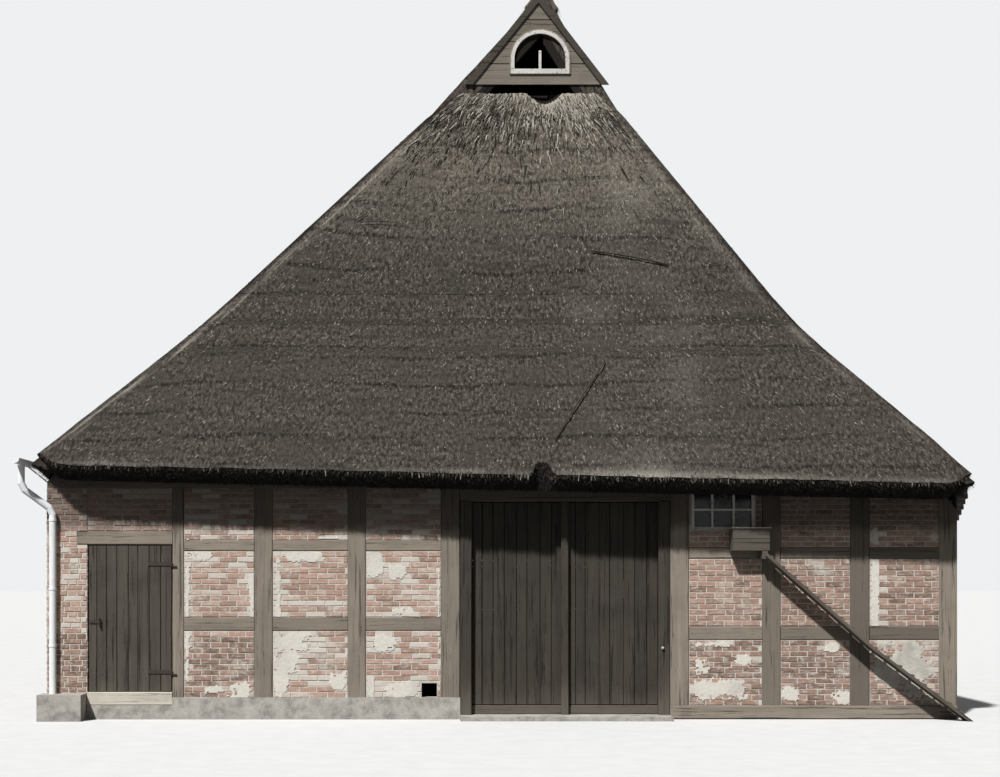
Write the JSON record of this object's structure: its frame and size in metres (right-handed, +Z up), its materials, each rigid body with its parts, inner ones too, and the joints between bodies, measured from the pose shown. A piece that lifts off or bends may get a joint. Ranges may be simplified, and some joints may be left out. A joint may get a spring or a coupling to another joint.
{
  "type": "thatched farm cottage",
  "caption": "Timber-framed farm cottage with brick infill, brick side walls and a steep half-hipped thatched roof over a boarded great door.",
  "frame": {"origin": "on the ground under the middle of the great doorway, on the front wall's outer face", "axes": "+X to the right as seen from the front, +Y from the front wall to the rear along the ridge, +Z up"},
  "size_m": [13.5453, 19.6398, 12.08],
  "materials": {
    "thatch": "dry reed thatch, weathered grey-brown, matt",
    "oak": "weathered oak, rough sawn, matt",
    "boards": "weathered boards, dark and matt",
    "painted_trim": "white paint, flaking and matt",
    "brick": "hand-made brick in lime mortar, matt",
    "stone": "rough stone and concrete, matt",
    "zinc": "weathered zinc, dull",
    "iron": "forged iron, rusted and dull",
    "window_glass": "thin old window glass, clear"
  },
  "bodies": {
    "house": {"arcade_plates": "oak", "corner_pier": "brick", "cross_beams": "oak", "door_lintels": "oak", "door_thresholds": "boards", "downpipe": "zinc", "drain_block": "stone", "front_brick_left": "brick", "front_brick_right": "brick", "front_plinth": "stone", "gablet_boards": "boards", "great_door_frame": "oak", "great_door_step": "stone", "gutter": "zinc", "gutter_brackets": "zinc", "hall_posts": "oak", "hen_ramp": "boards", "hip_rafters": "oak", "left_rafters": "oak", "left_wall": "brick", "nest_box": "boards", "owl_hole_rims": "painted_trim", "pintles": "iron", "pipe_clips": "zinc", "purlins": "oak", "rear_brick": "brick", "ridge_cap": "thatch", "right_rafters": "oak", "right_wall": "brick", "sills": "oak", "thatch_hips": "thatch", "thatch_left": "thatch", "thatch_right": "thatch", "verge_boards": "boards", "wall_plates": "oak", "wall_posts": "oak", "wall_rails": "oak", "window_frames": "painted_trim", "window_glass": "window_glass"},
    "great_door_left_body": {"great_door_left": "boards", "great_door_left_hinges": "iron"},
    "great_door_right_body": {"great_door_right": "boards", "great_door_right_hinges": "iron"},
    "side_door_body": {"side_door": "boards", "side_door_ironwork": "iron"}
  },
  "joints": [
    {"name": "great_door_left_hinge", "type": "hinge", "parent": "house", "child": "great_door_left_body", "pos_m": [-1.495, 0.2185, 0], "axis": [0, 0, 1], "range_deg": [0, 95]},
    {"name": "great_door_right_hinge", "type": "hinge", "parent": "house", "child": "great_door_right_body", "pos_m": [1.495, 0.2185, 0], "axis": [0, 0, -1], "range_deg": [0, 95]},
    {"name": "side_door_hinge", "type": "hinge", "parent": "house", "child": "side_door_body", "pos_m": [-5.619, -0.016, 0], "axis": [0, 0, 1], "range_deg": [0, 100]}
  ]
}
